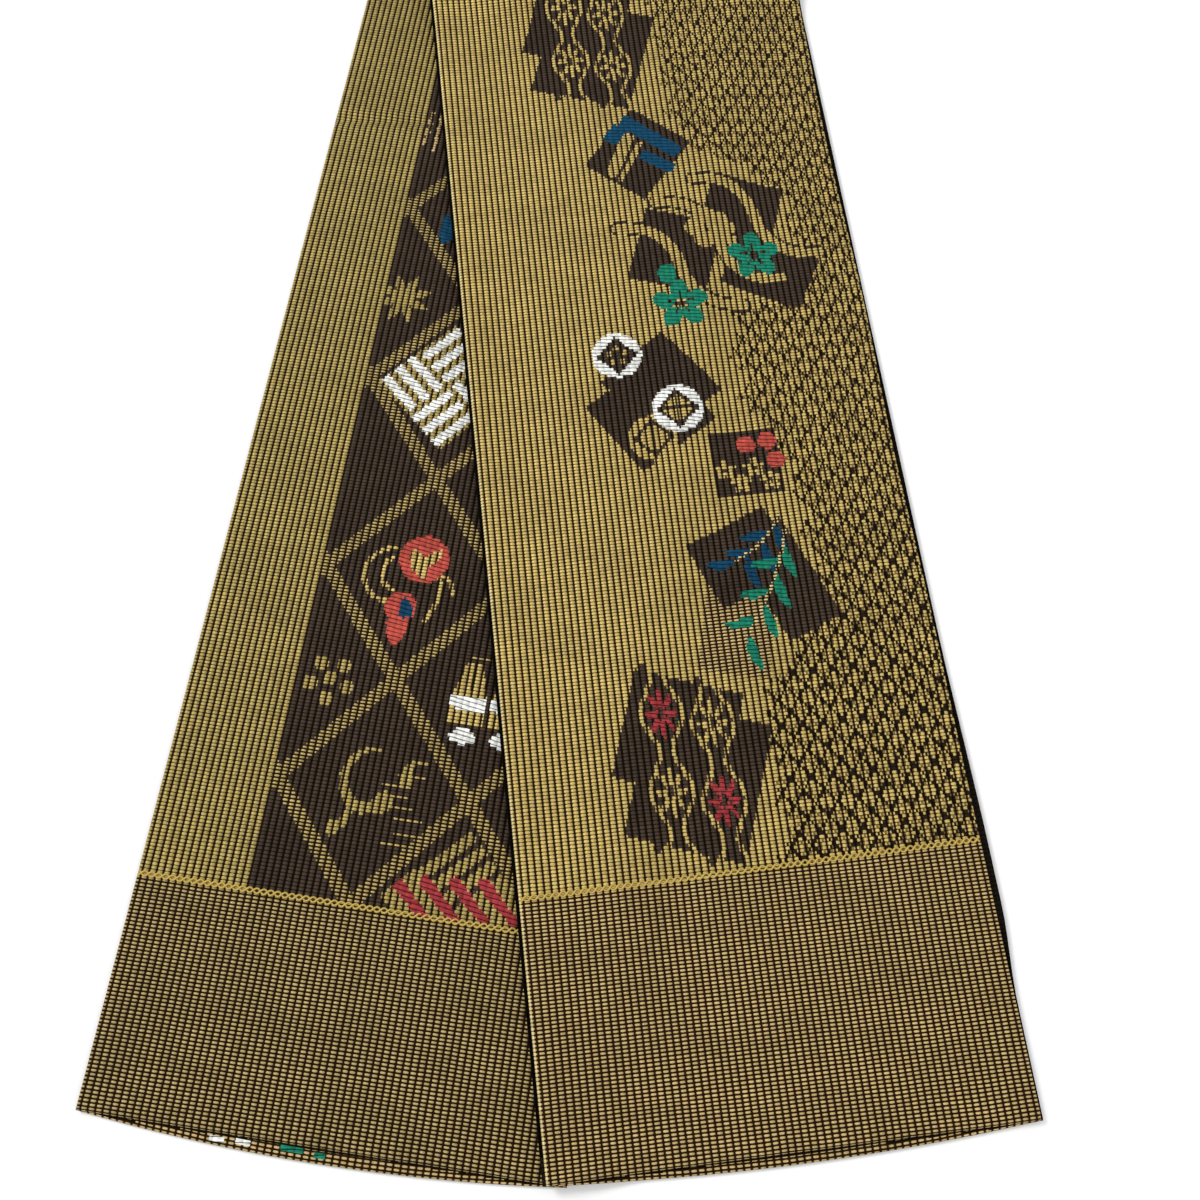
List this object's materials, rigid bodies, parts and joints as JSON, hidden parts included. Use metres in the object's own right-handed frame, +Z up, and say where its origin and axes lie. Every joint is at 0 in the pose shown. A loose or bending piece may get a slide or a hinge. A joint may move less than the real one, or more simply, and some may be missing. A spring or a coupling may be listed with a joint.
{
  "type": "obi sash",
  "caption": "Half-width tube-woven obi sash laid out flat: two sewn ends lean together and cross, and the rest is folded to and fro in a neat stack.",
  "frame": {"origin": "middle of the footprint, on the surface that the sash lies on", "axes": "+Y from the two sewn ends towards the folded stack, +X to the right across the legs, +Z up"},
  "size_m": [0.3108, 0.9078, 0.0237],
  "materials": {
    "face_cloth": "ribbed gold and dark brown jacquard silk with a soft metallic sheen",
    "back_cloth": "ribbed brown gold jacquard, matte",
    "folded_cloth": "ribbed gold jacquard with dark woven sides, soft sheen"
  },
  "bodies": {
    "root": {"te_back": "back_cloth", "te_face": "face_cloth", "te_turn": "back_cloth", "folded_middle": "folded_cloth", "tare_turn": "back_cloth", "tare_back": "back_cloth", "tare_face": "face_cloth"}
  },
  "joints": []
}
